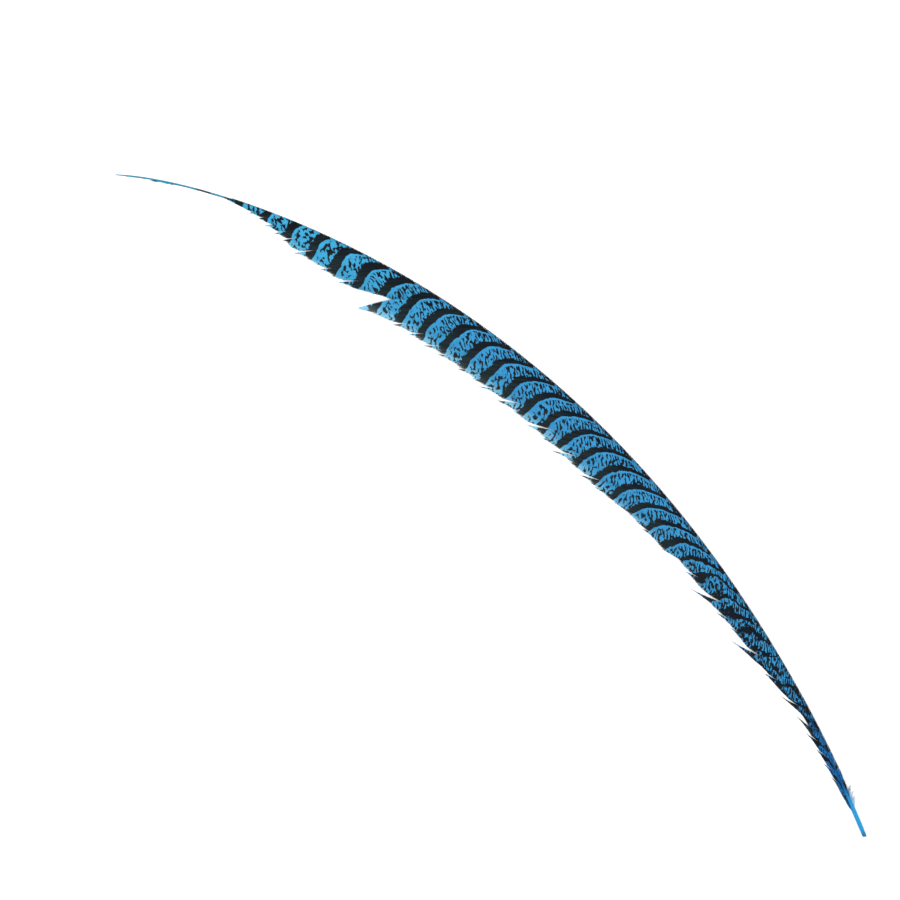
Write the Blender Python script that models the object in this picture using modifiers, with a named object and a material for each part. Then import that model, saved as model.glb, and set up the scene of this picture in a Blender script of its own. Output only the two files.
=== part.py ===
"""Pheasant tail feather lying on a table, upper side up: a shaft and its two webs.

The shaft curves like a sabre. The wide web grows on the hollow side of the curve and the
narrow web, folded down, on the round side. X runs along the chord from quill to tip, Y
towards the hollow side, and Z up.
"""

import math

import bmesh
import bpy
import numpy as np

# s is the distance along the shaft from the quill's cut end, w the distance across it
# towards the wide web's margin. Metres, and degrees where a name says so.
MM = 0.001
FEATHER_LENGTH = 600 * MM
BEND_DEG = (35.4, 37.9, -18.3)
TIP_HOOK_DEG = 9.0
TIP_HOOK_POWER = 18
PATH_STEPS = 1200

# Shaft: the quill is a round tube, and the rachis beyond it is deeper than it is wide.
SHAFT_WIDTH = ((0, 2.2), (8, 2.5), (30, 2.4), (70, 2.0), (130, 1.6), (220, 1.3), (330, 1.1),
               (450, 0.95), (540, 0.95), (588, 0.9), (600, 0.5))
SHAFT_DEPTH = ((0, 2.2), (8, 2.5), (30, 2.6), (70, 2.5), (130, 2.3), (220, 2.0), (330, 1.6),
               (450, 1.25), (540, 0.9), (600, 0.5))
SHAFT_SECTIONS = 52
SHAFT_SIDES = 8
CUT_SLANT = 0.6 * MM

# Webs: barbs leave the shaft at the first angle and bend to the second at the margin.
BARB_ROOT_DEG = 38.0
BARB_BEND_DEG = 14.0
WEB_START = 17 * MM
WEB_END = 533 * MM
WEB_THICKNESS = 0.5 * MM
WEB_ROOT_HEIGHT = 0.75
SHAFT_GAP = 0.3 * MM
MARGIN_LIFT = 0.32 * MM
CROWN_HEIGHT = 3.2 * MM
CROWN_WIDTH = 27 * MM
ROW_PITCH = 3.6 * MM
WEB_COLUMNS = (0.0, 0.12, 0.3, 0.46, 0.6, 0.74, 0.88, 1.0)

# The wide web's margin, as distance along the shaft and distance from it. Beyond the
# deep split the barbs belong to the short lock of the tip, which has its own margin.
WIDE_MARGIN = ((17, 1.6), (28, 2.7), (52, 3.8), (66, 4.5), (70, 3.0), (80, 3.0), (88, 5.3), (96, 7.6),
               (104, 9.1), (115, 10.2), (121, 12.2), (127, 13.3), (140, 12.9), (155, 14.8), (172, 16.8),
               (180, 15.7), (194, 15.7), (201, 18.2), (206, 19.8), (234, 21.4), (248, 24.3),
               (262, 25.9), (320, 26.4), (460, 25.6))
TIP_MARGIN = ((400, 12.0), (427, 15.1), (444, 19.1), (457, 19.4), (470, 16.6), (487, 15.0),
              (500, 9.0), (511, 5.0), (520, 2.9), (533, 1.0), (540, 0.4))
DEEP_SPLIT = 402 * MM

# Splits: root on the shaft, share of the width where the gap opens, and how far the
# locks on its base side and tip side are set apart at the margin.
SPLITS = (
    (66 * MM, 0.46, 3.0 * MM, 0.0),
    (109 * MM, 0.60, 4.0 * MM, 3.0 * MM),
    (147 * MM, 0.60, 3.0 * MM, 4.0 * MM),
    (271 * MM, 0.74, 4.5 * MM, 1.0 * MM),
    (DEEP_SPLIT, 0.60, 12.0 * MM, 0.0),
    (424 * MM, 0.74, 1.0 * MM, 2.0 * MM),
    (464 * MM, 0.46, 3.0 * MM, 1.5 * MM),
)
LOCK_REACH = 9 * MM

# Narrow web: a strip that folds down beside the shaft.
NARROW_START = 25 * MM
NARROW_END = 530 * MM
NARROW_SPREAD = ((25, 0.3), (36, 1.1), (70, 1.1), (110, 0.9), (420, 0.85), (530, 0.4))
NARROW_THICKNESS = 0.35 * MM
NARROW_PITCH = 7.0 * MM
NARROW_COLUMNS = (0.0, 0.5, 1.0)

SHAFT_BLUE = (0.045, 0.36, 0.66, 1.0)
WEB_BLUE = (0.035, 0.25, 0.50, 1.0)
FOLD_BLUE = (0.018, 0.13, 0.30, 1.0)


def ramp(table, s):
    """Value in metres at s of a table written in millimetres."""
    at = [row[0] * MM for row in table]
    values = [row[1] * MM for row in table]
    return float(np.interp(s, at, values))


def centre_line():
    """The shaft's centre in plan, with its chord turned along X."""
    f = (np.arange(PATH_STEPS) + 0.5) / PATH_STEPS
    bend = sum(degrees * f ** (power + 1) for power, degrees in enumerate(BEND_DEG))
    heading = np.radians(bend + TIP_HOOK_DEG * f**TIP_HOOK_POWER)
    step = FEATHER_LENGTH / PATH_STEPS
    x = np.concatenate(([0.0], np.cumsum(np.cos(heading)) * step))
    y = np.concatenate(([0.0], np.cumsum(np.sin(heading)) * step))
    chord = math.atan2(y[-1], x[-1])
    turn = np.array([[math.cos(chord), math.sin(chord)], [-math.sin(chord), math.cos(chord)]])
    return (turn @ np.vstack((x, y))).T


LINE = centre_line()
LINE_AT = np.linspace(0.0, FEATHER_LENGTH, PATH_STEPS + 1)


def place(s, w, z):
    """Point at s along the shaft, w across it and z above the table."""
    x = np.interp(s, LINE_AT, LINE[:, 0])
    y = np.interp(s, LINE_AT, LINE[:, 1])
    step = FEATHER_LENGTH / PATH_STEPS
    ahead = np.interp(s + step, LINE_AT, LINE[:, 0]) - np.interp(s - step, LINE_AT, LINE[:, 0])
    aside = np.interp(s + step, LINE_AT, LINE[:, 1]) - np.interp(s - step, LINE_AT, LINE[:, 1])
    size = math.hypot(ahead, aside)
    return (float(x - aside / size * w), float(y + ahead / size * w), float(z))


def barb_run(q):
    """How far a barb runs along the shaft, per unit of width, by share q of its width."""
    root = math.radians(BARB_ROOT_DEG)
    bend = math.radians(BARB_BEND_DEG)
    return math.log(math.sin(root) / math.sin(root - bend * q)) / bend


def barb_width(root_s):
    """Width at which the barb rooted at root_s meets its lock's margin."""
    margin = WIDE_MARGIN if root_s < DEEP_SPLIT else TIP_MARGIN
    low, high = 0.0, 40 * MM
    for _ in range(40):
        middle = 0.5 * (low + high)
        if middle < ramp(margin, root_s + middle * barb_run(1.0)):
            low = middle
        else:
            high = middle
    return low


def lock_shift(root_s, q):
    """How far a barb is set along the shaft by the splits beside it."""
    shift = 0.0
    for split_s, opens, back, forward in SPLITS:
        if q > opens:
            share = ((q - opens) / (1.0 - opens)) ** 1.3
            near = math.exp(-abs(root_s - split_s) / LOCK_REACH)
            shift += share * near * (-back if root_s < split_s else forward)
    return shift


def wide_point(root_s, q):
    """Point at share q of the barb rooted at root_s."""
    inner = 0.5 * ramp(SHAFT_WIDTH, root_s) + SHAFT_GAP
    reach = max(barb_width(root_s) - inner, 0.4 * MM)
    root_z = WEB_ROOT_HEIGHT * ramp(SHAFT_DEPTH, root_s)
    crown = CROWN_HEIGHT * reach / CROWN_WIDTH * math.sin(math.pi * q**0.75)
    z = MARGIN_LIFT + (root_z - MARGIN_LIFT) * (1.0 - q) ** 1.5 + crown
    s = root_s + reach * barb_run(q) + lock_shift(root_s, q)
    return place(s, inner + reach * q, z)


def narrow_point(s, q):
    """Point at share q of the narrow web's width, folding down from the shaft."""
    inner = 0.5 * ramp(SHAFT_WIDTH, s) + SHAFT_GAP
    root_z = WEB_ROOT_HEIGHT * ramp(SHAFT_DEPTH, s)
    fold = (root_z - MARGIN_LIFT) * q**1.6
    return place(s, -inner - ramp(NARROW_SPREAD, s) * q, root_z - fold)


def material(name, colour, roughness):
    made = bpy.data.materials.new(name)
    made.use_nodes = True
    shader = made.node_tree.nodes["Principled BSDF"]
    shader.inputs["Base Color"].default_value = colour
    shader.inputs["Roughness"].default_value = roughness
    shader.inputs["Metallic"].default_value = 0.0
    return made


def add_object(name, mesh, surface, collection):
    mesh.materials.append(surface)
    made = bpy.data.objects.new(name, mesh)
    collection.objects.link(made)
    return made


def shaft_mesh():
    """Tapered loft from the round quill to the deep rachis, its underside on the table."""
    cage = bmesh.new()
    rings = []
    for index in range(SHAFT_SECTIONS):
        s = FEATHER_LENGTH * index / (SHAFT_SECTIONS - 1)
        half_width = 0.5 * ramp(SHAFT_WIDTH, s)
        half_depth = 0.5 * ramp(SHAFT_DEPTH, s)
        ring = []
        for side in range(SHAFT_SIDES):
            angle = 2.0 * math.pi * (side + 0.5) / SHAFT_SIDES
            across = half_width * math.cos(angle)
            up = half_depth * math.sin(angle) / math.sin(math.pi * 0.5 - math.pi / SHAFT_SIDES)
            slant = 0.5 * CUT_SLANT * (1.0 + across / half_width) if index == 0 else 0.0
            ring.append(cage.verts.new(place(s + slant, across, half_depth + up)))
        rings.append(ring)
    for ring, after in zip(rings, rings[1:]):
        for side in range(SHAFT_SIDES):
            other = (side + 1) % SHAFT_SIDES
            cage.faces.new((ring[side], ring[other], after[other], after[side]))
    cage.faces.new(rings[0])
    cage.faces.new(rings[-1])
    bmesh.ops.recalc_face_normals(cage, faces=cage.faces)
    mesh = bpy.data.meshes.new("shaft")
    cage.to_mesh(mesh)
    cage.free()
    mesh.shade_smooth()
    mesh.set_sharp_from_angle(angle=math.radians(60))
    return mesh


def sheet_mesh(name, rows, columns, point, is_open):
    """Open sheet of barbs: one row of points a barb, with no face where is_open says so."""
    cage = bmesh.new()
    grid = [[cage.verts.new(point(s, q)) for q in columns] for s in rows]
    for index in range(len(rows) - 1):
        for column in range(len(columns) - 1):
            if is_open(rows[index], rows[index + 1], columns[column]):
                continue
            cage.faces.new((
                grid[index][column],
                grid[index + 1][column],
                grid[index + 1][column + 1],
                grid[index][column + 1],
            ))
    mesh = bpy.data.meshes.new(name)
    cage.to_mesh(mesh)
    cage.free()
    mesh.shade_smooth()
    return mesh


def thicken(web, thickness):
    solid = web.modifiers.new("thickness", "SOLIDIFY")
    solid.thickness = thickness
    solid.offset = 0.0
    solid.use_even_offset = False


def row_list(start, end, pitch):
    count = round((end - start) / pitch)
    return [start + (end - start) * index / count for index in range(count + 1)]


def across_split(before, after, q):
    """Whether the cell between two barbs, outwards from q, lies in a split."""
    return any(before < split_s <= after and q >= opens - 0.01
               for split_s, opens, _, _ in SPLITS)


def never(before, after, q):
    return False


def build_shaft(collection):
    surface = material("shaft_keratin", SHAFT_BLUE, 0.32)
    add_object("shaft", shaft_mesh(), surface, collection)


def build_wide_web(collection):
    rows = row_list(WEB_START, WEB_END, ROW_PITCH)
    mesh = sheet_mesh("wide_web", rows, WEB_COLUMNS, wide_point, across_split)
    web = add_object("wide_web", mesh, material("wide_web_barbs", WEB_BLUE, 0.7), collection)
    thicken(web, WEB_THICKNESS)


def build_narrow_web(collection):
    rows = row_list(NARROW_START, NARROW_END, NARROW_PITCH)
    mesh = sheet_mesh("narrow_web", rows, NARROW_COLUMNS, narrow_point, never)
    surface = material("narrow_web_barbs", FOLD_BLUE, 0.7)
    web = add_object("narrow_web", mesh, surface, collection)
    thicken(web, NARROW_THICKNESS)


def centre_over_origin(collection):
    """Moves the whole feather so that its box stands centred on the origin."""
    bpy.context.view_layer.update()
    graph = bpy.context.evaluated_depsgraph_get()
    corners = []
    for made in collection.objects:
        shape = made.evaluated_get(graph).to_mesh()
        corners.extend(vertex.co.to_tuple() for vertex in shape.vertices)
    low = np.min(corners, axis=0)
    high = np.max(corners, axis=0)
    for made in collection.objects:
        made.location = (-0.5 * (low[0] + high[0]), -0.5 * (low[1] + high[1]), -low[2])


def main():
    for old in list(bpy.data.objects):
        bpy.data.objects.remove(old)
    feather = bpy.data.collections.new("pheasant_tail_feather")
    bpy.context.scene.collection.children.link(feather)
    build_shaft(feather)
    build_wide_web(feather)
    build_narrow_web(feather)
    centre_over_origin(feather)


main()
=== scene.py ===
"""Looks of the pheasant tail feather: a glossy dyed shaft, and webs made of single barbs.

s is the distance along the shaft from the quill's cut end, w the distance across it
towards the wide web's margin, and q the share of a barb's width. Lengths are in metres, but
in mm in the tables, in the markings and materials, and where a name says so. Angles are in
degrees where a name says so.
"""

import math

import bpy
import numpy as np
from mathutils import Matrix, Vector


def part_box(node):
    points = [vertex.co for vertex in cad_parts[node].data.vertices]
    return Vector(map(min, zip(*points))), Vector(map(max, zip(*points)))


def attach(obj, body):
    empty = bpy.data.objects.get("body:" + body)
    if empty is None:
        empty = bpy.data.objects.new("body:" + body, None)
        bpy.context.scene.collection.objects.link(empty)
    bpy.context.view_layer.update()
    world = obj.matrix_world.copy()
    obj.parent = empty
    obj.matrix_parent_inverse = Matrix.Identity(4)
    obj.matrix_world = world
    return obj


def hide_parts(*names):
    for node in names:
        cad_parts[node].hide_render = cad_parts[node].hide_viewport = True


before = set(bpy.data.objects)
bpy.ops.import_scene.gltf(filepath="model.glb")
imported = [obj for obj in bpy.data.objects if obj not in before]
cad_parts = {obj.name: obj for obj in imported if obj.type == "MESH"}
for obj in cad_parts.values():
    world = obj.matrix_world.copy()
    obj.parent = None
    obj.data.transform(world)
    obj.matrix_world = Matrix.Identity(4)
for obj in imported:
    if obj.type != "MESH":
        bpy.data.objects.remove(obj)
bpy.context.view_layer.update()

MM = 0.001
BODY = "root"
SEED = 7

# The shaft's curve and taper, as in the CAD model.
FEATHER_LENGTH = 600 * MM
BEND_DEG = (35.4, 37.9, -18.3)
TIP_HOOK_DEG = 9.0
TIP_HOOK_POWER = 18
PATH_STEPS = 1200
SHAFT_WIDTH = ((0, 2.2), (8, 2.5), (30, 2.4), (70, 2.0), (130, 1.6), (220, 1.3), (330, 1.1),
               (450, 0.95), (540, 0.95), (588, 0.9), (600, 0.5))
SHAFT_DEPTH = ((0, 2.2), (8, 2.5), (30, 2.6), (70, 2.5), (130, 2.3), (220, 2.0), (330, 1.6),
               (450, 1.25), (540, 0.9), (600, 0.5))
CUT_SLANT = 0.6 * MM

# The wide web, as in the CAD model.
BARB_ROOT_DEG = 38.0
BARB_BEND_DEG = 14.0
WEB_START = 17 * MM
WEB_END = 533 * MM
MARGIN_LIFT = 0.32 * MM
CROWN_HEIGHT = 3.2 * MM
CROWN_WIDTH = 27 * MM
WIDE_MARGIN = ((17, 1.6), (28, 2.7), (52, 3.8), (66, 4.5), (70, 3.0), (80, 3.0), (88, 5.3), (96, 7.6),
               (104, 9.1), (115, 10.2), (121, 12.2), (127, 13.3), (140, 12.9), (155, 14.8), (172, 16.8),
               (180, 15.7), (194, 15.7), (201, 18.2), (206, 19.8), (234, 21.4), (248, 24.3),
               (262, 25.9), (320, 26.4), (460, 25.6))
TIP_MARGIN = ((400, 12.0), (427, 15.1), (444, 19.1), (457, 19.4), (470, 16.6), (487, 15.0),
              (500, 9.0), (511, 5.0), (520, 2.9), (533, 1.0), (540, 0.4))
DEEP_SPLIT = 402 * MM
# Beyond the deep split the barbs still curve as if they were this long.
TIP_SPAN = ((402, 25.8), (430, 21.0), (455, 17.0), (480, 12.0), (500, 7.0), (533, 1.1))

# Splits, in mm but for the share: root on the shaft; share of the width where the gap opens;
# how far barbs reach past the margin on its base side, and fall short of it on its tip side;
# how far the two sides are set apart along the shaft; and how much of the shaft that touches.
SPLITS = (
    (33, 0.30, 0.9, 0.3, 1.0, 0.4, 4), (41, 0.30, 1.2, 0.3, 1.0, 0.4, 4),
    (50, 0.30, 1.4, 0.4, 1.2, 0.5, 4), (59, 0.35, 2.0, 0.4, 1.2, 0.6, 4),
    (67, 0.34, 3.5, 0.2, 0.0, 0.4, 8), (81, 0.40, 3.3, 0.4, 2.0, 0.8, 9),
    (94, 0.60, 1.2, 0.6, 1.4, 0.8, 5), (109, 0.56, 4.6, 1.4, 2.6, 1.6, 8),
    (121, 0.80, 1.0, 0.5, 0.8, 0.5, 4), (130, 0.72, 1.5, 1.0, 1.0, 0.8, 5),
    (144, 0.54, 4.0, 2.4, 3.2, 2.0, 8), (158, 0.76, 1.8, 1.0, 1.0, 0.8, 5),
    (172, 0.88, 0.8, 0.5, 0.7, 0.4, 5), (186, 0.84, 1.2, 0.5, 0.8, 0.6, 5),
    (205, 0.90, 0.7, 0.4, 0.6, 0.4, 5), (216, 0.88, 1.0, 0.5, 0.7, 0.5, 5),
    (226, 0.76, 2.2, 0.8, 1.9, 1.2, 6), (246, 0.78, 3.8, 0.8, 2.1, 1.4, 6),
    (257, 0.90, 0.8, 0.4, 0.6, 0.4, 4), (270, 0.66, 1.8, 0.9, 2.4, 1.6, 8),
    (282, 0.91, 0.8, 0.4, 0.5, 0.4, 4), (293, 0.72, 2.0, 0.8, 2.3, 1.5, 7),
    (305, 0.82, 2.2, 0.8, 1.4, 0.9, 5), (323, 0.89, 1.1, 0.5, 0.7, 0.5, 5),
    (339, 0.86, 1.2, 0.5, 1.0, 0.7, 5), (349, 0.82, 1.5, 0.6, 1.4, 1.0, 5),
    (363, 0.80, 1.6, 0.6, 1.4, 1.0, 5), (375, 0.80, 1.6, 0.6, 1.4, 1.0, 5),
    (424, 0.68, 1.8, 1.0, 1.4, 1.2, 6),
    (440, 0.76, 1.4, 0.8, 0.8, 0.7, 5), (462, 0.56, 1.4, 1.0, 1.8, 1.0, 6),
    (478, 0.60, 1.0, 0.9, 1.2, 0.7, 5), (487, 0.60, 1.5, 0.7, 1.0, 0.6, 4),
    (497, 0.55, 1.8, 0.8, 1.0, 0.6, 4), (506, 0.50, 0.9, 0.5, 0.7, 0.5, 4),
    (514, 0.50, 1.2, 0.4, 0.6, 0.4, 3),
)
# The deep split: the lock on its base side also curls back, more and more towards its point.
DEEP_LOCK = (402, 0.46, 3.4, 0.0, 10.0, 0.0, 24)
# How the gaps widen towards the margin, at the small splits and at the deep one, and how
# full the locks beside them stay towards their points.
LOCK_CURL = 1.1
DEEP_CURL = 1.6
LOCK_FULLNESS = 1.6
# How far the markings are set along the shaft with the small locks.
MARKS_FOLLOW = 0.35

# Where the webs' inner edges lie across the shaft, as shares of its width.
WIDE_ROOT = ((0, 0.42), (25, 0.40), (45, 0.12), (90, -0.12), (600, -0.22))
NARROW_ROOT = ((0, 0.34), (30, 0.30), (45, 0.16), (600, 0.24))
# How high the webs' barbs leave the shaft, as shares of its depth.
WIDE_LIFT = 1.04
NARROW_LIFT = 1.02

# Barbs of the wide web: how far apart they grow, the points along each, how those crowd
# towards the tip, and how much neighbours overlap and tilt, like shingles.
BARB_PITCH = 0.36 * MM
BARB_POINTS = 21
BARB_CROWDING = 0.9
BARB_OVERLAP = 1.25
BARB_TILT_DEG = 9.0
# A barb is as wide as its gap to the next, between these shares of a regular gap.
GAP_RANGE = (0.45, 1.3)
# The last quarter of a barb thins by a little, and its very end comes to a point.
THIN_LENGTH = 0.25
THIN_BY = 0.14
POINT_LENGTH = 0.06
# How high the ridge of a barb stands, as a share of half its width.
RIDGE = 0.45
FINE_RIDGE = 0.4
# Past this share of its width a barb runs straight on.
BARB_STRAIGHT_FROM = 1.25
# Limits that keep barbs and their curves from shrinking to nothing, and the search for
# where a barb meets the margin: the widest it tries, and how often it halves the range.
SHORTEST_BARB = 0.5 * MM
SHORTEST_SPAN = 0.8 * MM
WIDEST_BARB = 40 * MM
HALVINGS = 40
# How uneven the barbs' ends are: shares of their width that wear takes off and growth
# changes, over so many barbs, and how far the ends stray along the shaft.
BARB_WEAR = 0.035
BARB_GROWTH = (0.02, 9)
BARB_STRAY = 0.14 * MM
# The visible crown is a little lower than the CAD model's, and has slight waves: their
# heights, and how many barbs each takes up.
CROWN_SHARE = 0.9
WEB_WAVES = ((0.22 * MM, 24), (0.08 * MM, 8))

# Narrow web: short barbs that fold down beside the shaft. How far from the shaft's centre
# they reach is a share of its width, and the spread on top of that. They lean so steeply
# that their own width is only a share of how far apart they grow.
NARROW_START = 25 * MM
NARROW_END = 530 * MM
NARROW_EDGE = 0.40
NARROW_SPREAD = ((25, 0.6), (34, 1.7), (70, 1.7), (110, 1.4), (420, 1.2), (530, 0.6))
NARROW_PITCH = 0.42 * MM
NARROW_POINTS = 7
NARROW_WIDTH = 0.42
NARROW_WEAR = 0.06
NARROW_STRAY = 0.25 * MM
# How far they run along the shaft for their width, how late they fold down, how high their
# ends lie, and the shares of a barb's width that their bars and their tone are taken from.
NARROW_RUN = 2.6
NARROW_FOLD = 2.2
NARROW_END_HEIGHT = 0.15 * MM
NARROW_BAR_SHARE = 0.02
NARROW_TONE_SHARE = 0.32

# What is left of the wide web on the worn tip: first and last root, how many barbs, and
# the length of the longest.
WORN = ((534, 592, 46, 2.6), (563, 575, 12, 8.0))
WORN_POINTS = 9
WORN_ROOT = 0.25 * MM
WORN_SPREAD = 0.14
WORN_HALF_WIDTH = 0.19 * MM

# Down at the top of the quill: root on the shaft in mm, side (-1 is the round side), length
# in mm, lean from the shaft and curl along the barb in degrees, and how brown it is.
DOWN = (
    (18, -1, 7.0, 12, 30, 0.1), (19, -1, 6.5, 24, 40, 0.2), (20, -1, 8.0, 10, 22, 0.1),
    (21, -1, 6.0, 34, 25, 0.3), (22, -1, 7.0, 18, 35, 0.2), (23, -1, 6.5, 30, 30, 0.3),
    (24, -1, 7.5, 14, 30, 0.2), (25, -1, 6.0, 36, -10, 0.4), (26, -1, 6.5, 22, 15, 0.6),
    (27, -1, 6.5, 34, 25, 0.9), (28, -1, 7.0, 28, -60, 1.0), (30, -1, 6.0, 16, 10, 0.5),
    (22, 1, 6.0, 14, 10, 0.6), (25, 1, 7.0, 16, 8, 0.8), (29, 1, 7.0, 16, 6, 0.9),
    (33, 1, 8.0, 14, 8, 0.9),
)
DOWN_ROOT = 1.0 * MM
DOWN_TOP = 1.6 * MM
DOWN_DROP = 1.1 * MM
DOWN_HALF_WIDTH = 0.13 * MM
# Barbules along each barb of down: how many, the points along each, and their size.
HAIRS = 44
HAIR_POINTS = 21
HAIR_LENGTH_MM = (0.5, 1.3)
HAIR_SPREAD_DEG = (35.0, 60.0)
HAIR_RISE_MM = (-0.2, 0.3)
HAIR_HALF_WIDTH = 0.06 * MM

# The visible shaft: its mesh, the groove along its underside, and the quill's mouth, as
# depth and radius as a share of the quill's.
SHAFT_SECTIONS = 420
SHAFT_SIDES = 20
SECTION_CROWDING = 1.15
GROOVE_START = 30 * MM
GROOVE_FADE = 60 * MM
GROOVE_DEPTH = 0.35
GROOVE_HALF_ANGLE = 0.45
QUILL_MOUTH = ((0.0, 0.72), (0.35, 0.70), (0.9, 0.62), (1.3, 0.35), (1.4, 0.05))

# Bake map: how much of its lane a blade fills, the margin beside it, and where in a row of
# lanes the two upper faces and the underside lie.
LANE_FILL = 0.96
LANE_MARGIN = 0.02
UPPER_STRIP = (0.0, 0.62)
UNDER_STRIP = (0.64, 0.31)

# Markings, in mm. Bars: the base-side edge of bar n meets the margin at
# BAR_FIRST + BAR_STEP n + BAR_GAIN n².
BAR_FIRST = 217.1
BAR_STEP = 13.95
BAR_GAIN = 0.072
# Bars bend towards the quill near the shaft: how far, and how suddenly.
BAR_BOW = ((0, 5.0), (90, 8.0), (125, 14.0), (150, 20.0), (230, 21.0), (290, 18.5), (330, 17.5),
           (400, 12.5), (443, 10.3), (460, 7.5), (476, 4.5), (491, 3.0), (507, 1.5), (530, 0.5),
           (600, 0.0))
BOW_POWER = ((0, 3.4), (230, 3.6), (300, 4.2), (400, 5.5), (600, 4.8))
# Fine wavy lines between the bars: spacing along the shaft, how much closer they lie near the
# quill and how soon that fades, and how they lean near the shaft.
LINE_PERIOD = 2.75
LINE_CLOSER = 1.3
LINE_CLOSER_FADE = 80.0
LINE_LEAN = 22.5
LINE_LEAN_WIDTH = 26.0
# How regular the lines are against random flecks, the flecks' cells across and along the
# lines, how much shorter those are near the shaft, and how sparse all the lines are.
COMB_SHARE = 0.39
FLECK_ACROSS = 1.5
FLECK_ALONG = 0.36
FLECK_CLOSER = 2.5
INK_LEVEL = 0.20
# Added before a fraction is taken, so that the number isn't negative.
WHOLE = 40.0


def ramp(table, s):
    """Values in metres at s of a table written in millimetres."""
    at, values = np.array(table).T
    return np.interp(s, at * MM, values * MM)


def centre_line():
    """The shaft's centre in plan, with its chord along X, and its direction there."""
    f = (np.arange(PATH_STEPS) + 0.5) / PATH_STEPS
    bend = sum(degrees * f ** (power + 1) for power, degrees in enumerate(BEND_DEG))
    heading = np.radians(bend + TIP_HOOK_DEG * f**TIP_HOOK_POWER)
    step = FEATHER_LENGTH / PATH_STEPS
    x = np.concatenate(([0.0], np.cumsum(np.cos(heading)) * step))
    y = np.concatenate(([0.0], np.cumsum(np.sin(heading)) * step))
    chord = math.atan2(y[-1], x[-1])
    turn = np.array([[math.cos(chord), math.sin(chord)], [-math.sin(chord), math.cos(chord)]])
    line = (turn @ np.vstack((x, y))).T
    along = np.gradient(line, axis=0)
    return line, along / np.linalg.norm(along, axis=1, keepdims=True)


LINE, ALONG = centre_line()
LINE_AT = np.linspace(0.0, FEATHER_LENGTH, PATH_STEPS + 1)


def seat_line():
    """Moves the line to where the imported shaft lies."""
    low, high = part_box("shaft")
    side = 0.5 * ramp(SHAFT_WIDTH, LINE_AT)[:, None] * ALONG[:, ::-1] * (-1.0, 1.0)
    outline = np.vstack((LINE + side, LINE - side))
    LINE[:] += (high.x - outline[:, 0].max(), low.y - outline[:, 1].min())


seat_line()


def place(s, w, z):
    """Points at s along the shaft, w across it and z above the floor."""
    s, w, z = np.broadcast_arrays(s, w, z)
    inside = np.clip(s, 0.0, FEATHER_LENGTH)
    along = np.stack([np.interp(inside, LINE_AT, ALONG[:, i]) for i in (0, 1)], -1)
    spot = np.stack([np.interp(inside, LINE_AT, LINE[:, i]) for i in (0, 1)], -1)
    spot = spot + along * (s - inside)[..., None]
    across = along[..., ::-1] * (-1.0, 1.0)
    return np.concatenate((spot + across * w[..., None], z[..., None]), -1)


def barb_run(q):
    """How far a barb runs along the shaft, per unit of width, by share q of its width."""
    root, bend = math.radians(BARB_ROOT_DEG), math.radians(BARB_BEND_DEG)
    curved = np.minimum(q, BARB_STRAIGHT_FROM)
    curve = np.log(math.sin(root) / np.sin(root - bend * curved)) / bend
    return curve + (q - curved) / math.tan(root - bend * BARB_STRAIGHT_FROM)


def solve(root_s, span_of, margin):
    """Widths at which the barbs rooted at root_s meet a margin."""
    low, high = np.zeros_like(root_s), np.full_like(root_s, WIDEST_BARB)
    for _ in range(HALVINGS):
        middle = 0.5 * (low + high)
        span = span_of(middle)
        tip = root_s + span * barb_run(np.minimum(middle / span, 1.0))
        inside = middle < ramp(margin, tip)
        low, high = np.where(inside, middle, low), np.where(inside, high, middle)
    return low


def barb_sizes(root_s):
    """The barbs' widths, and the spans that their curves are drawn over."""
    wide = solve(root_s, lambda width: width + 1e-9, WIDE_MARGIN)
    tip_span = ramp(TIP_SPAN, root_s)
    short = solve(root_s, lambda width: np.maximum(tip_span, width), TIP_MARGIN)
    beyond = root_s > DEEP_SPLIT
    return np.where(beyond, short, wide), np.where(beyond, np.maximum(tip_span, short), wide)


def lock_shift(root_s, q, splits, curl):
    """How far the barbs are set along the shaft by the splits beside them."""
    shift = np.zeros(np.broadcast(root_s, q).shape)
    for split, opens, _, _, back, forward, reach in splits:
        share = np.clip((q - opens) / (1.0 - opens), 0.0, None) ** curl
        near = np.exp(-np.abs(root_s - split * MM) / (reach * MM))
        shift += share * near * np.where(root_s < split * MM, -back, forward) * MM
    return shift


def lock_reach(root_s):
    """How far the barbs reach past their locks' margin, so that each lock ends in a point."""
    more = np.zeros_like(root_s)
    for split, _, past, short, _, _, reach in (*SPLITS, DEEP_LOCK):
        distance = np.abs(root_s - split * MM) / (reach * MM)
        near = np.exp(-((2.0 * distance) ** LOCK_FULLNESS))
        more += near * np.where(root_s < split * MM, past, -short) * MM
    return more


def smooth_noise(count, scale, random):
    """Seeded wandering values of about -1 to 1, one for each of count barbs."""
    knots = random.uniform(-1.0, 1.0, int(count / scale) + 3)
    return np.interp(np.arange(count) / scale, np.arange(len(knots)), knots)


def bar_phase(s_mm, q):
    """Bar number, growing towards the tip: whole numbers lie on a bar's base-side edge."""
    bow = np.interp(s_mm, *np.array(BAR_BOW).T)
    power = np.interp(s_mm, *np.array(BOW_POWER).T)
    t = s_mm + bow * np.clip(1.0 - q, 0.0, 1.0) ** power
    return (np.sqrt(BAR_STEP**2 + 4.0 * BAR_GAIN * (t - BAR_FIRST)) - BAR_STEP) / (2.0 * BAR_GAIN)


# ---------------------------------------------------------------- meshes

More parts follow.
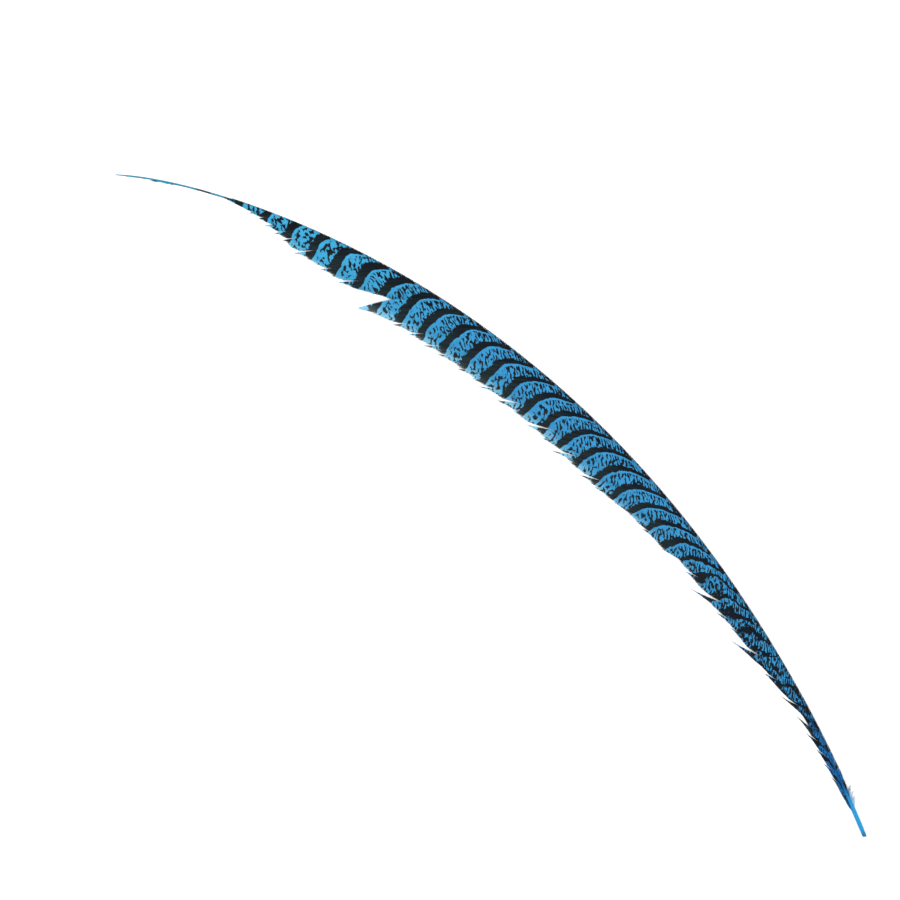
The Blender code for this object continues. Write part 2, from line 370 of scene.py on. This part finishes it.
def new_mesh(name, points, quads, fields, uv=None):
    """A smooth mesh from arrays, with a named value per point for each field."""
    mesh = bpy.data.meshes.new(name)
    mesh.vertices.add(len(points))
    mesh.vertices.foreach_set("co", points.astype(np.float32).ravel())
    mesh.loops.add(quads.size)
    mesh.loops.foreach_set("vertex_index", quads.astype(np.int32).ravel())
    mesh.polygons.add(len(quads))
    mesh.polygons.foreach_set("loop_start", np.arange(0, quads.size, quads.shape[1], dtype=np.int32))
    mesh.update(calc_edges=True)
    for field, values in fields.items():
        layer = mesh.attributes.new(field, "FLOAT", "POINT")
        layer.data.foreach_set("value", values.astype(np.float32).ravel())
    if uv is not None:
        mesh.uv_layers.new(name="OFBake")
        mesh.uv_layers["OFBake"].data.foreach_set("uv", uv.astype(np.float32).ravel())
    mesh.validate()
    mesh.shade_smooth()
    made = bpy.data.objects.new(name, mesh)
    bpy.context.scene.collection.objects.link(made)
    return made


def blade_uv(count, points, rows):
    """Bake map: each blade is a lane, tops and undersides apart, folded into rows."""
    lanes = math.ceil(count / rows)
    blade = np.arange(count)
    left = (blade % lanes) / lanes
    base = (blade // lanes) / rows
    lane = LANE_FILL / lanes
    up = np.linspace(0.0, 1.0, points)
    uv = np.zeros((count, points - 1, 3, 4, 2))
    faces = ((0.0, 0.5, UPPER_STRIP), (0.5, 1.0, UPPER_STRIP), (1.0, 0.0, UNDER_STRIP))
    for face, (u0, u1, (bottom, height)) in enumerate(faces):
        for corner, (u, step) in enumerate(((u0, 0), (u0, 1), (u1, 1), (u1, 0))):
            along = up[step : step + points - 1]
            uv[:, :, face, corner, 0] = (left + lane * (u + LANE_MARGIN))[:, None]
            uv[:, :, face, corner, 1] = base[:, None] + (bottom + height * along[None, :]) / rows
    return uv


def blades(name, spine, half_width, height, tilt, fields, rows):
    """Joined three-sided blades, one along each row of spine points."""
    count, points = spine.shape[:2]
    along = np.gradient(spine, axis=1)
    flat = np.stack((-along[..., 1], along[..., 0], np.zeros(along.shape[:2])), -1)
    flat /= np.linalg.norm(flat, axis=-1, keepdims=True) + 1e-12
    roll = np.tan(tilt)[:, None, None] * half_width[..., None]
    rise = np.array((0.0, 0.0, 1.0))
    side = flat * half_width[..., None] + rise * roll
    ring = np.stack((spine - side, spine + rise * height[..., None], spine + side), 2)
    index = np.arange(count * points * 3).reshape(count, points, 3)
    quads = np.zeros((count, points - 1, 3, 4), np.int64)
    for face in range(3):
        other = (face + 1) % 3
        quads[:, :, face, 0] = index[:, :-1, face]
        quads[:, :, face, 1] = index[:, 1:, face]
        quads[:, :, face, 2] = index[:, 1:, other]
        quads[:, :, face, 3] = index[:, :-1, other]
    spread = {key: np.repeat(value[..., None], 3, -1) for key, value in fields.items()}
    uv = blade_uv(count, points, rows)
    return new_mesh(name, ring.reshape(-1, 3), quads.reshape(-1, 4), spread, uv)


def shares(table, s):
    """Places across the shaft at s, from a table of shares of the shaft's width."""
    at, values = np.array(table).T
    return np.interp(s, at * MM, values) * ramp(SHAFT_WIDTH, s)


def web_height(root_s, share, width, reach, random):
    """Heights of the wide web: down from the shaft, over a low crown, with slight waves."""
    root_z = WIDE_LIFT * ramp(SHAFT_DEPTH, root_s)
    crown = CROWN_SHARE * CROWN_HEIGHT * width / CROWN_WIDTH
    z = MARGIN_LIFT + (root_z - MARGIN_LIFT)[:, None] * (1.0 - share) ** 1.8
    z = z + crown[:, None] * np.sin(math.pi * share**0.75)
    wave = sum(height * smooth_noise(len(root_s), barbs, random) for height, barbs in WEB_WAVES)
    return z + wave[:, None] * np.sin(math.pi * share**1.4) * (reach / CROWN_WIDTH)[:, None]


def barb_half_width(spine, part, share):
    """Half widths with which each barb overlaps the next, down to a point at its end."""
    bend = np.radians(BARB_ROOT_DEG - BARB_BEND_DEG * np.minimum(part, BARB_STRAIGHT_FROM))
    regular = BARB_PITCH * np.sin(bend)
    step = np.gradient(spine[..., :2], axis=0)
    along = np.gradient(spine[..., :2], axis=1)
    gap = np.abs(step[..., 0] * along[..., 1] - step[..., 1] * along[..., 0])
    gap = gap / np.linalg.norm(along, axis=-1)
    narrowest, widest = GAP_RANGE
    half = 0.5 * BARB_OVERLAP * np.clip(gap, narrowest * regular, widest * regular)
    thin = 1.0 - THIN_BY * np.clip((share - 1.0 + THIN_LENGTH) / THIN_LENGTH, 0.0, 1.0)
    taper = np.clip((1.0 - share) / POINT_LENGTH, 0.0, 1.0) ** 0.7 + 0.04
    return half * np.minimum(taper, thin)


def wide_web():
    """The wide web: barbs hooked into locks, with pointed tips along the margin."""
    random = np.random.default_rng(SEED)
    count = round((WEB_END - WEB_START) / BARB_PITCH)
    root_s = np.linspace(WEB_START, WEB_END, count)
    share = np.linspace(0.0, 1.0, BARB_POINTS)[None, :] ** BARB_CROWDING
    inner = shares(WIDE_ROOT, root_s)
    width, span = barb_sizes(root_s)
    growth, barbs = BARB_GROWTH
    fray = 1.0 - BARB_WEAR * random.random(count) ** 2 + growth * smooth_noise(count, barbs, random)
    reach = np.maximum(width * fray + lock_reach(root_s) - inner, SHORTEST_BARB)
    z = web_height(root_s, share, width, reach, random)
    stray = random.normal(0.0, BARB_STRAY, count)
    part = share * (reach / np.maximum(span - inner, SHORTEST_SPAN))[:, None]
    whole = share * (reach / np.maximum(width - inner, SHORTEST_SPAN))[:, None]
    s_flat = root_s[:, None] + span[:, None] * barb_run(part)
    s_marked = s_flat + lock_shift(root_s[:, None], whole, (DEEP_LOCK,), DEEP_CURL)
    shift = lock_shift(root_s[:, None], whole, SPLITS, LOCK_CURL)
    s = s_marked + shift + stray[:, None] * share**12
    w = inner[:, None] + reach[:, None] * share
    spine = place(s, w, z)
    half = barb_half_width(spine, part, share)
    tilt = np.radians(BARB_TILT_DEG) * (1.0 + 0.5 * smooth_noise(count, 3, random))
    fields = web_fields(s_marked + MARKS_FOLLOW * shift, w, part, root_s, random)
    return blades("wide_web_barbs", spine, half, RIDGE * half, tilt, fields, rows=5)


def web_fields(s, w, q, root_s, random):
    """Values that the colours are laid out by: places, bar number, and a tone per barb."""
    count, points = q.shape
    tone = 0.6 * smooth_noise(count, 5, random) + 0.4 * random.uniform(-1.0, 1.0, count)
    return {
        "along_mm": s / MM,
        "across_mm": w / MM,
        "root_mm": np.repeat(root_s[:, None] / MM, points, 1),
        "bar": bar_phase(s / MM, q),
        "share": q,
        "tone": np.repeat(tone[:, None], points, 1),
    }


def narrow_web():
    """The narrow web: short barbs folded down over the round side of the shaft."""
    random = np.random.default_rng(SEED + 1)
    count = round((NARROW_END - NARROW_START) / NARROW_PITCH)
    root_s = np.linspace(NARROW_START, NARROW_END, count)
    share = np.linspace(0.0, 1.0, NARROW_POINTS)[None, :]
    inner = shares(NARROW_ROOT, root_s)[:, None]
    edge = NARROW_EDGE * ramp(SHAFT_WIDTH, root_s) + ramp(NARROW_SPREAD, root_s)
    spread = edge[:, None] * (1.0 - NARROW_WEAR * random.random((count, 1))) - inner
    root_z = NARROW_LIFT * ramp(SHAFT_DEPTH, root_s)[:, None]
    z = NARROW_END_HEIGHT + (root_z - NARROW_END_HEIGHT) * (1.0 - share**NARROW_FOLD)
    w = -inner - spread * share
    stray = random.normal(0.0, NARROW_STRAY, (count, 1))
    s = root_s[:, None] + (NARROW_RUN * spread + stray) * share
    spine = place(s, w, z)
    half = 0.5 * BARB_OVERLAP * NARROW_PITCH * NARROW_WIDTH * (1.02 - share**3) * np.ones((count, 1))
    tilt = np.full(count, -np.radians(BARB_TILT_DEG))
    fields = web_fields(s, w, np.full_like(s, NARROW_BAR_SHARE), root_s, random)
    fields["share"] = np.full_like(s, NARROW_TONE_SHARE)
    return blades("narrow_web_barbs", spine, half, FINE_RIDGE * half, tilt, fields, rows=4)


def worn_barbs():
    """What is left of the wide web's barbs on the worn tip: short ones close to the shaft."""
    random = np.random.default_rng(SEED + 2)
    root_s = np.concatenate([np.linspace(first, last, count) for first, last, count, _ in WORN]) * MM
    longest = np.concatenate([np.full(count, length) for _, _, count, length in WORN]) * MM
    length = (longest * random.uniform(0.5, 1.0, len(root_s)))[:, None]
    share = np.linspace(0.0, 1.0, WORN_POINTS)[None, :]
    s = root_s[:, None] + length * share
    w = WORN_ROOT + WORN_SPREAD * length * share**1.3
    z = 0.7 * ramp(SHAFT_DEPTH, root_s)[:, None] * (1.0 - 0.4 * share)
    half = WORN_HALF_WIDTH * (1.05 - share**2) * np.ones((len(root_s), 1))
    fields = web_fields(s, w, np.full_like(s, 0.5), root_s, random)
    spine = place(s, w, z)
    flat = np.zeros(len(root_s))
    return blades("worn_tip_barbs", spine, half, FINE_RIDGE * half, flat, fields, rows=1)


def down():
    """Loose down at the top of the quill: thin curling barbs with fluffy barbules."""
    random = np.random.default_rng(SEED + 3)
    share = np.linspace(0.0, 1.0, HAIR_POINTS)
    spines, halves, browns = [], [], []
    for root, side, length, lean, curl, brown in DOWN:
        turn = np.radians(lean + curl * share)
        step = length * MM / HAIR_POINTS
        ds, dw = np.cos(turn) * step, np.sin(turn) * step
        s = root * MM + np.cumsum(ds) - ds[0]
        w = side * (DOWN_ROOT + np.cumsum(dw) - dw[0])
        z = DOWN_TOP - DOWN_DROP * share
        spines.append(place(s, w, z))
        halves.append(DOWN_HALF_WIDTH * (1.1 - share))
        for hair in range(HAIRS):
            at = int((0.1 + 0.85 * hair / HAIRS) * HAIR_POINTS)
            out = turn[at] + (-1) ** hair * math.radians(random.uniform(*HAIR_SPREAD_DEG))
            size = random.uniform(*HAIR_LENGTH_MM) * MM * (1.1 - share[at])
            rise = random.uniform(*HAIR_RISE_MM) * MM
            spines.append(place(s[at] + np.cos(out) * size * share,
                                w[at] + side * np.sin(out) * size * share,
                                z[at] + rise * share))
            halves.append(HAIR_HALF_WIDTH * (1.1 - share))
        browns.extend([np.full(HAIR_POINTS, brown)] * (1 + HAIRS))
    spine, half = np.array(spines), np.array(halves)
    fields = {"brown": np.array(browns), "tip": np.repeat(share[None, :], len(spine), 0)}
    flat = np.zeros(len(spine))
    return blades("base_down", spine, half, FINE_RIDGE * half, flat, fields, rows=1)


def shaft():
    """The shaft: a hollow cut quill, then a rachis with a groove along its underside."""
    s = FEATHER_LENGTH * np.linspace(0.0, 1.0, SHAFT_SECTIONS) ** SECTION_CROWDING
    angle = 2.0 * math.pi * (np.arange(SHAFT_SIDES) + 0.5) / SHAFT_SIDES
    half_w = 0.5 * ramp(SHAFT_WIDTH, s)[:, None]
    half_d = 0.5 * ramp(SHAFT_DEPTH, s)[:, None]
    groove = np.clip((s - GROOVE_START) / GROOVE_FADE, 0.0, 1.0)[:, None]
    from_below = (angle - 1.5 * math.pi) / GROOVE_HALF_ANGLE
    dip = 1.0 - GROOVE_DEPTH * groove * np.exp(-(from_below**2))[None, :]
    across = half_w * np.cos(angle)[None, :]
    up = half_d * np.sin(angle)[None, :] * dip
    slant = np.zeros_like(across)
    slant[0] = 0.5 * CUT_SLANT * (1.0 + across[0] / half_w[0])
    tube = place(s[:, None] + slant, across, half_d + up)
    mouth = []
    for depth, size in QUILL_MOUTH:
        rim = np.clip(1.0 - depth, 0.0, 1.0)
        mouth.append(place(depth * MM + slant[0] * rim, across[0] * size,
                           half_d[0] * (1.0 + size * np.sin(angle))))
    ring = np.concatenate((np.array(mouth)[::-1], tube), 0)
    index = np.arange(ring.shape[0] * SHAFT_SIDES).reshape(ring.shape[0], SHAFT_SIDES)
    after = np.roll(index, -1, 1)
    quads = np.stack((index[:-1], after[:-1], after[1:], index[1:]), -1).reshape(-1, 4)
    at = np.concatenate((np.zeros(len(mouth)), s))
    inside = np.arange(len(at)) < len(mouth) - 1
    fields = {
        "along_mm": np.repeat(at[:, None] / MM, SHAFT_SIDES, 1),
        "around": np.repeat(np.sin(angle)[None, :], len(at), 0),
        "bar": np.repeat(bar_phase(at / MM, 0.0)[:, None], SHAFT_SIDES, 1),
        "inside": np.repeat(inside[:, None] * 1.0, SHAFT_SIDES, 1),
    }
    return new_mesh("shaft_keratin", ring.reshape(-1, 3), quads, fields)


# ---------------------------------------------------------------- materials

SPECULAR = 0.08


class Graph:
    """Short ways to write a material's nodes."""

    def __init__(self, name):
        self.material = bpy.data.materials.new(name)
        self.material.use_nodes = True
        self.tree = self.material.node_tree
        self.shader = self.tree.nodes["Principled BSDF"]

    def put(self, socket, value):
        """Gives a socket a number, a colour or another node's output."""
        if isinstance(value, bpy.types.NodeSocket):
            self.tree.links.new(value, socket)
        else:
            socket.default_value = value

    def field(self, name):
        """A named value of the mesh."""
        node = self.tree.nodes.new("ShaderNodeAttribute")
        node.attribute_type = "GEOMETRY"
        node.attribute_name = name
        return node.outputs["Fac"]

    def math(self, operation, *values):
        """A calculation with numbers or other nodes' outputs."""
        node = self.tree.nodes.new("ShaderNodeMath")
        node.operation = operation
        for socket, value in zip(node.inputs, values):
            self.put(socket, value)
        return node.outputs[0]

    def sum(self, first, *others):
        """All of them added up."""
        total = first
        for other in others:
            total = self.math("ADD", total, other)
        return total

    def times(self, first, second):
        """The one multiplied by the other."""
        return self.math("MULTIPLY", first, second)

    def linear(self, value, slope, start):
        """Start plus slope times value."""
        return self.math("MULTIPLY_ADD", value, slope, start)

    def step(self, value, low, high, start=0.0, end=1.0):
        """Smooth step from start to end as value goes from low to high."""
        node = self.tree.nodes.new("ShaderNodeMapRange")
        node.interpolation_type = "SMOOTHSTEP"
        for socket, number in zip(node.inputs, (value, low, high, start, end)):
            self.put(socket, number)
        return node.outputs[0]

    def point(self, x, y):
        """A place to take a flat noise's value at."""
        node = self.tree.nodes.new("ShaderNodeCombineXYZ")
        self.put(node.inputs[0], x)
        self.put(node.inputs[1], y)
        return node.outputs[0]

    def noise(self, vector, scale, detail=1.0, roughness=0.5):
        """Noise of about -1 to 1."""
        node = self.tree.nodes.new("ShaderNodeTexNoise")
        node.noise_dimensions = "2D"
        self.put(node.inputs["Vector"], vector)
        self.put(node.inputs["Scale"], scale)
        self.put(node.inputs["Detail"], detail)
        self.put(node.inputs["Roughness"], roughness)
        return self.linear(node.outputs[0], 4.0, -2.0)

    def mix(self, factor, first, second):
        """The first colour at factor 0, the second one at 1, and between them a blend."""
        node = self.tree.nodes.new("ShaderNodeMix")
        node.data_type = "RGBA"
        self.put(node.inputs["Factor"], factor)
        self.put(node.inputs["A"], first)
        self.put(node.inputs["B"], second)
        return node.outputs["Result"]

    def shade(self, value, colour):
        """The colour, brightened or darkened by value."""
        node = self.tree.nodes.new("ShaderNodeHueSaturation")
        self.put(node.inputs["Value"], value)
        self.put(node.inputs["Color"], colour)
        return node.outputs[0]

    def finish(self, colour, roughness, specular=SPECULAR):
        """The material, with this colour and this gloss."""
        self.put(self.shader.inputs["Base Color"], colour)
        self.put(self.shader.inputs["Roughness"], roughness)
        self.shader.inputs["Specular IOR Level"].default_value = specular
        return self.material


def display(red, green, blue):
    """Linear colour of an 8-bit display colour."""
    levels = np.array((red, green, blue)) / 255.0
    linear = np.where(levels <= 0.04045, levels / 12.92, ((levels + 0.055) / 1.055) ** 2.4)
    return (*(float(level) for level in linear), 1.0)


QUILL_BLUE = display(30, 129, 180)
CUT_BLUE = display(20, 78, 110)
MOUTH_BLUE = display(96, 150, 178)
RACHIS_BLUE = display(2, 62, 112)
WORN_BLUE = display(40, 122, 148)
BASE_BLUE = display(24, 102, 165)
MIDDLE_BLUE = display(57, 144, 195)
TIP_BLUE = display(66, 166, 208)
MARGIN_BLUE = display(150, 216, 238)
INNER_BLACK = display(14, 21, 28)
OUTER_BLACK = display(35, 49, 52)
THIN_BLACK = display(76, 90, 94)
DOWN_BLUE = display(140, 190, 218)
DOWN_BROWN = display(84, 70, 70)


def dyed_blue(g, s, q):
    """Turquoise that is deepest near the quill and palest at the margin and the tip."""
    blue = g.mix(g.step(s, 40.0, 110.0), BASE_BLUE, MIDDLE_BLUE)
    deep = g.times(g.step(q, 0.5, 0.95), g.step(s, 110.0, 180.0, 0.5, 0.0))
    blue = g.mix(deep, blue, BASE_BLUE)
    blue = g.mix(g.step(s, 330.0, 520.0), blue, TIP_BLUE)
    pale = g.times(g.step(q, 0.70, 1.0), g.step(s, 120.0, 320.0, 0.15, 0.75))
    return g.mix(pale, blue, MARGIN_BLUE)


def dyed_black(g, s, q, tone):
    """Near-black that is deepest at the shaft, with streaks along the barbs and thin ends."""
    streak = g.noise(g.point(g.times(g.field("root_mm"), 0.8), g.times(s, 0.05)), 1.0, 2.0)
    paler = g.sum(g.step(q, 0.1, 0.8, 0.0, 0.7), g.times(streak, 0.45), g.times(tone, 0.15))
    paler = g.times(paler, g.step(s, 130.0, 240.0, 0.1, 1.0))
    dark = g.mix(paler, INNER_BLACK, OUTER_BLACK)
    thin = g.times(g.step(q, 0.80, 1.0), g.step(s, 220.0, 430.0, 0.2, 0.85))
    return g.mix(thin, dark, THIN_BLACK)


def bar_place(g, here, ragged):
    """Place between one bar's base-side edge and the next one's, from 0 to 1."""
    wander = g.times(g.noise(here, 0.12), g.linear(ragged, 0.24, 0.045))
    rough = g.times(g.noise(here, 0.42, 2.0), g.linear(ragged, 0.12, 0.022))
    return g.math("FRACT", g.sum(g.field("bar"), wander, rough, WHOLE))


def bar_thickness(g, s, q, here, ragged, bar_share):
    """How thick the bars are, as a share of the way from one to the next."""
    combed = g.point(g.times(g.field("root_mm"), 1.6), g.times(s, 0.12))
    jag = g.sum(g.times(g.noise(here, 0.55, 2.0), 0.050), g.times(g.noise(combed, 1.0), 0.025))
    swell = g.times(g.linear(g.noise(here, 0.2), 0.20, 0.02), ragged)
    # Near the shaft they widen towards the tip.
    near_shaft = g.math("POWER", g.math("MAXIMUM", g.math("SUBTRACT", 1.0, q), 0.0), 4.0)
    widen = g.times(g.step(s, 330.0, 440.0, -0.03, 0.22), g.step(s, 455.0, 490.0, 1.0, 0.1))
    # The long locks near the quill have black ends.
    ends = g.times(g.step(s, 58.0, 66.0, 0.0, 0.4), g.step(s, 95.0, 110.0, 1.0, 0.0))
    ends = g.times(ends, g.step(q, 0.45, 0.9))
    return g.sum(g.times(near_shaft, widen), jag, swell, ends, bar_share)


def fine_lines(g, s, q, here):
    """Wavy lines across the blue: a leaning comb of lines, broken up by flecks."""
    w = g.field("across_mm")
    level = g.math("MAXIMUM", g.math("SUBTRACT", 1.0, g.math("DIVIDE", w, LINE_LEAN_WIDTH)), 0.0)
    near_shaft = g.times(level, level)
    tip = g.step(s, 420.0, 475.0)
    lean = g.times(g.linear(near_shaft, -LINE_LEAN, LINE_LEAN), g.linear(tip, -0.65, 1.0))
    leant = g.math("ADD", s, lean)
    near_quill = g.math("EXPONENT", g.math("DIVIDE", leant, -LINE_CLOSER_FADE))
    closer = g.times(near_quill, -LINE_CLOSER * LINE_CLOSER_FADE)
    wave = g.math("DIVIDE", g.math("ADD", leant, closer), LINE_PERIOD)
    bumps = g.times(g.noise(here, 0.20), g.linear(g.step(w, 2.0, 15.0), 0.12, 0.26))
    phase = g.sum(wave, bumps, g.times(g.field("tone"), 0.05), WHOLE)
    off_line = g.math("ABSOLUTE", g.math("SUBTRACT", g.math("FRACT", phase), 0.5))
    comb = g.times(g.linear(off_line, -4.0 * COMB_SHARE, COMB_SHARE), g.linear(tip, -0.35, 1.0))
    along = g.times(w, g.linear(near_quill, 0.5, FLECK_ALONG))
    along = g.linear(near_shaft, -FLECK_CLOSER, along)
    flecks = g.noise(g.point(g.times(phase, FLECK_ACROSS), along), 1.0)
    flecks = g.times(flecks, g.linear(tip, -0.2, 1.0))
    spots = g.times(g.noise(here, 0.62), 0.22)
    blots = g.times(g.noise(g.point(s, g.times(w, 0.6)), 0.42), g.times(tip, 0.65))
    # The web is blacker near the quill, most of all towards the margin.
    denser = g.times(g.step(s, 100.0, 270.0, 1.0, 0.0), g.step(q, 0.4, 0.9, 0.08, 0.55))
    sparse = g.sum(g.step(w, 5.0, 14.0, INK_LEVEL - 0.2, INK_LEVEL), g.times(tip, 0.08),
                   g.step(s, 45.0, 75.0, 0.5, 0.0))
    ink = g.math("SUBTRACT", g.sum(comb, flecks, spots, blots, denser), sparse)
    return g.step(ink, -0.045, 0.045)


def barred(g, s, q, bar_share):
    """How black the web is: broad bars, and fine broken wavy lines between them."""
    here = g.point(s, g.field("across_mm"))
    ragged = g.times(g.step(s, 120.0, 225.0, 1.0, 0.0), g.step(s, 50.0, 75.0, 0.3, 1.0))
    place_in_bar = bar_place(g, here, ragged)
    thick = bar_thickness(g, s, q, here, ragged, bar_share)
    bars = g.step(g.math("SUBTRACT", thick, place_in_bar), -0.006, 0.006)
    bars = g.times(bars, g.step(place_in_bar, 0.0, 0.010))
    # A strip of clean blue lies on the base side of each bar, but not where bars are ragged.
    clean_from = g.sum(place_in_bar, g.times(g.noise(here, 0.9), 0.03))
    lined = g.math("MAXIMUM", g.step(clean_from, 0.87, 0.91, 1.0, 0.0), g.times(ragged, 0.9))
    return g.math("MAXIMUM", bars, g.times(fine_lines(g, s, q, here), lined))


def web_material(name, shade, bar_share, more_black, edge_black_and_shade):
    """Dyed barbs: the markings, a dark outer edge that is partly painted shade, a tone per barb and a
    silky finish.
    """
    g = Graph(name)
    s, q, tone = g.field("along_mm"), g.field("share"), g.field("tone")
    middle = g.times(g.step(s, 90.0, 150.0), g.step(s, 410.0, 450.0, 1.0, 0.25))
    # A dark line along the narrow web's outer edge. Part of it is the web's own dark colour, and part
    # is painted shade where the feather's side turns down away from the light.
    edge = g.step(g.field("across_mm"), -1.15, -0.8, edge_black_and_shade, 0.0)
    edge = g.times(g.times(middle, g.step(s, 150.0, 240.0)), edge)
    black = g.math("MAXIMUM", barred(g, s, q, g.linear(middle, more_black, bar_share)), edge)
    colour = g.mix(black, dyed_blue(g, s, q), dyed_black(g, s, q, tone))
    return g.finish(g.shade(g.linear(tone, 0.10, shade), colour), g.linear(black, -0.06, 0.60))


def down_material():
    """Down: pale translucent blue, brown where the dye took over the bird's own colour."""
    g = Graph("dyed_down")
    brown = g.field("brown")
    fade = g.noise(g.point(g.times(g.field("tip"), 6.0), brown), 1.0)
    colour = g.shade(g.linear(fade, 0.08, 1.0), g.mix(brown, DOWN_BLUE, DOWN_BROWN))
    return g.finish(colour, 0.7, 0.5)


def shaft_material():
    """Dyed keratin: clear cyan at the quill, darker beyond, and barred on the worn tip."""
    g = Graph("dyed_shaft")
    s = g.field("along_mm")
    streak = g.noise(g.point(g.times(s, 0.12), g.field("around")), 3.0, 2.0)
    place_in_bar = g.math("FRACT", g.math("ADD", g.field("bar"), WHOLE))
    banded = g.times(g.step(place_in_bar, 0.16, 0.22), g.step(place_in_bar, 0.64, 0.72, 1.0, 0.0))
    banded = g.times(g.step(s, 500.0, 530.0), g.times(banded, g.step(s, 558.0, 562.0, 1.0, 0.0)))
    blue = g.mix(g.step(s, 18.0, 36.0), QUILL_BLUE, RACHIS_BLUE)
    blue = g.mix(g.step(s, 500.0, 545.0), blue, WORN_BLUE)
    blue = g.mix(g.step(s, 1.5, 5.0, 0.65, 0.0), blue, CUT_BLUE)
    colour = g.mix(g.times(banded, 0.92), blue, INNER_BLACK)
    colour = g.shade(g.linear(streak, 0.05, 1.0), g.mix(g.field("inside"), colour, MOUTH_BLUE))
    return g.finish(colour, g.linear(streak, 0.03, 0.38))


# ---------------------------------------------------------------- scene

def loose(piece, surface):
    """A piece that rides on the feather and has no CAD solid of its own."""
    piece.data.materials.append(surface)
    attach(piece, BODY)


def dress(piece, surface, node):
    """A piece that is seen in place of a CAD solid."""
    loose(piece, surface)
    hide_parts(node)


FLOOR_SIZE = 6.0
FLOOR_DROP = 0.2 * MM
FLOOR_GREY = 0.92
SKY_STRENGTH = 0.62


def floor():
    """A pale floor, just under the feather."""
    bpy.ops.mesh.primitive_plane_add(size=FLOOR_SIZE, location=(0.0, 0.0, -FLOOR_DROP))
    ground = bpy.context.object
    ground.name = "floor"
    g = Graph("pale_floor")
    g.shader.inputs["Base Color"].default_value = (FLOOR_GREY, FLOOR_GREY, FLOOR_GREY, 1.0)
    g.shader.inputs["Roughness"].default_value = 0.9
    ground.data.materials.append(g.material)


def lamp(name, size, power, at, target):
    """A round soft lamp that faces its target."""
    light = bpy.data.lights.new(name, "AREA")
    light.shape = "DISK"
    light.size = size
    light.energy = power
    made = bpy.data.objects.new(name, light)
    made.location = at
    made.rotation_euler = (Vector(target) - Vector(at)).to_track_quat("-Z", "Y").to_euler()
    bpy.context.scene.collection.objects.link(made)


def lights():
    """A soft lamp overhead, a weaker one from the side, and white all around."""
    lamp("overhead", 1.6, 26.0, (0.25, 0.5, 1.6), (0.0, 0.0, 0.0))
    lamp("side", 1.2, 9.0, (-0.9, -0.6, 0.9), (0.0, 0.0, 0.0))
    world = bpy.data.worlds.new("studio")
    world.use_nodes = True
    world.node_tree.nodes["Background"].inputs[0].default_value = (1.0, 1.0, 1.0, 1.0)
    world.node_tree.nodes["Background"].inputs[1].default_value = SKY_STRENGTH
    bpy.context.scene.world = world
    bpy.context.scene.view_settings.view_transform = "Standard"


# The picture is square and 516 mm across. The quill's and the tip's places in it are shares
# of its side, from its centre, so the feather's chord runs up to the left.
PICTURE_SIDE = 516.2 * MM
QUILL_IN_PICTURE = (0.4606, -0.4296)
TIP_IN_PICTURE = (-0.3715, 0.3057)
LENS = 100.0
SENSOR = 36.0


def camera():
    """Looks straight down, turned and placed so that the feather lies as pictured."""
    eye = bpy.data.cameras.new("camera")
    eye.lens = LENS
    eye.sensor_width = SENSOR
    made = bpy.data.objects.new("camera", eye)
    bpy.context.scene.collection.objects.link(made)
    bpy.context.scene.camera = made
    quill = Vector(QUILL_IN_PICTURE) * PICTURE_SIDE
    tip = Vector(TIP_IN_PICTURE) * PICTURE_SIDE
    start, end = Vector(LINE[0]), Vector(LINE[-1])
    chord, pictured = end - start, tip - quill
    roll = math.atan2(chord.y, chord.x) - math.atan2(pictured.y, pictured.x)
    middle = 0.5 * (quill + tip)
    cos, sin = math.cos(roll), math.sin(roll)
    offset = Vector((cos * middle.x - sin * middle.y, sin * middle.x + cos * middle.y))
    centre = 0.5 * (start + end) - offset
    made.location = (centre.x, centre.y, PICTURE_SIDE * LENS / SENSOR)
    made.rotation_euler = (0.0, 0.0, roll)


def main():
    dress(shaft(), shaft_material(), "shaft")
    wide = web_material("dyed_wide_web", shade=1.0, bar_share=0.325, more_black=0.0, edge_black_and_shade=0.0)
    dress(wide_web(), wide, "wide_web")
    # The narrow web's outer edge is drawn near black. Part of that is its own colour, and part is
    # painted shade.
    narrow = web_material("dyed_narrow_web", shade=0.85, bar_share=0.34, more_black=0.12,
                          edge_black_and_shade=0.95)
    dress(narrow_web(), narrow, "narrow_web")
    loose(worn_barbs(), wide)
    loose(down(), down_material())
    floor()
    lights()
    camera()


main()
